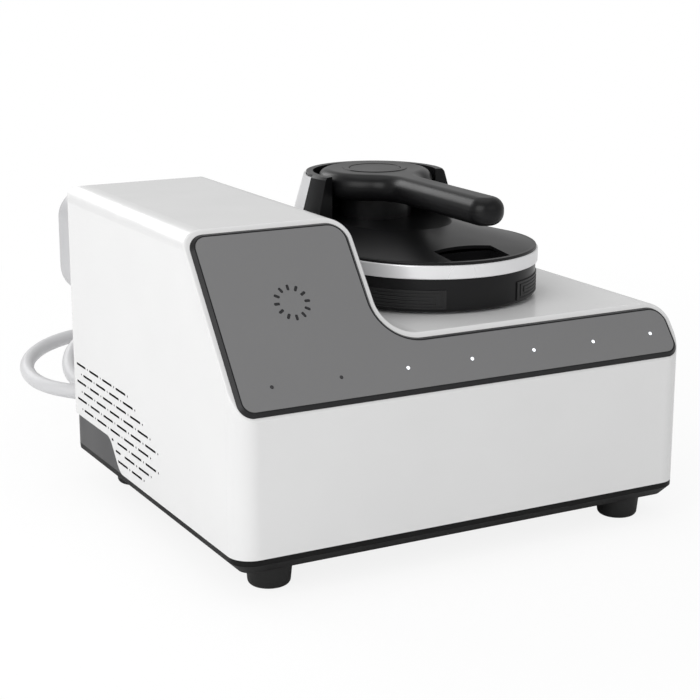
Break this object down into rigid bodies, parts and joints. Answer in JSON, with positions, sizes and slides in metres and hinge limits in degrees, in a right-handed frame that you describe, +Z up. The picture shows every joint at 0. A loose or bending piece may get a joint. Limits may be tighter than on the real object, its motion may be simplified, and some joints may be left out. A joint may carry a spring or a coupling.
{
  "type": "facial toning device",
  "caption": "Desktop facial toning device: stepped white cabinet with a sloped grey touch panel and side vents, and a round black paddle applicator on its deck, joined by a rear hose.",
  "frame": {"origin": "centre of the footprint at the undersides of the feet, cord left out", "axes": "+X to the right seen from the panel, +Y to the back, +Z up"},
  "size_m": [0.4639, 0.6248, 0.3041],
  "materials": {
    "white_plastic": "satin",
    "dark_plastic": "matte",
    "cheek_plastic": "matte",
    "black_plastic": "satin",
    "panel_grey": "satin",
    "light_guide": "frosted",
    "smoked_lens": "polished",
    "light_grey_plastic": "satin",
    "hose_grey": "satin",
    "foot_rubber": "matte",
    "handset_black": "satin",
    "handset_rubber": "matte",
    "silver_trim": "satin",
    "bare_aluminium": "satin",
    "screw_steel": "satin",
    "contact_brass": "satin",
    "board_green": "satin"
  },
  "bodies": {
    "console": {"main_shell": "white_plastic", "base_tray": "dark_plastic", "rear_skirt": "cheek_plastic", "foot_front_left": "foot_rubber", "foot_front_right": "foot_rubber", "foot_rear_left": "foot_rubber", "foot_rear_right": "foot_rubber", "foot_screws": "screw_steel", "shell_screws": "screw_steel", "panel_bezel": "black_plastic", "panel_overlay": "panel_grey", "key_light_guides": "light_guide", "gauge_light_guides": "smoked_lens", "key_board": "board_green", "gauge_board": "board_green", "rear_panel": "cheek_plastic", "rear_panel_screws": "screw_steel", "power_inlet": "black_plastic", "inlet_pins": "contact_brass", "fuse_drawer": "black_plastic", "switch_bezel": "black_plastic", "fan_frame": "black_plastic", "exhaust_cap": "light_grey_plastic", "board_standoffs": "contact_brass", "main_board": "board_green", "board_screws": "screw_steel", "board_parts": "black_plastic", "storage_capacitors": "bare_aluminium", "heat_sink": "bare_aluminium", "power_supply": "bare_aluminium", "mains_filter": "bare_aluminium", "buzzer": "black_plastic", "mains_loom": "dark_plastic", "panel_loom": "dark_plastic", "hose_socket": "light_grey_plastic", "hose_plug": "hose_grey", "applicator_loom": "dark_plastic", "hose": "hose_grey"},
    "fan_rotor": {"fan_rotor": "black_plastic"},
    "rocker": {"rocker": "black_plastic"},
    "hub_button": {"hub_button": "handset_black"},
    "applicator": {"treatment_plate": "bare_aluminium", "head_skirt": "handset_black", "side_pad_left": "handset_rubber", "side_pad_right": "handset_rubber", "trim_band": "silver_trim", "top_shell": "handset_black", "neck_skin": "silver_trim", "neck_lining": "handset_black", "grip_lower": "handset_black", "grip_upper": "handset_black", "hub_ring": "handset_black", "button_board": "board_green", "coil_former": "white_plastic", "coil_winding": "contact_brass", "head_board": "board_green", "applicator_screws": "screw_steel", "hose_sleeve": "handset_black", "applicator_leads": "dark_plastic"}
  },
  "joints": [
    {"name": "fan_spin", "type": "hinge", "parent": "console", "child": "fan_rotor", "pos_m": [-0.173, 0.178, 0.231], "axis": [0, 1, 0], "continuous": true},
    {"name": "rocker_tip", "type": "hinge", "parent": "console", "child": "rocker", "pos_m": [0.06, 0.1864, 0.1], "axis": [1, 0, 0], "range_deg": [0, 24]},
    {"name": "applicator_lift", "type": "slide", "parent": "console", "child": "applicator", "axis": [0, 0, 1], "range_m": [0, 0.1]},
    {"name": "button_press", "type": "slide", "parent": "applicator", "child": "hub_button", "axis": [0, 0, -1], "range_m": [0, 0.0012], "stiffness_N_per_m": 800, "springref_m": -0.0015}
  ]
}
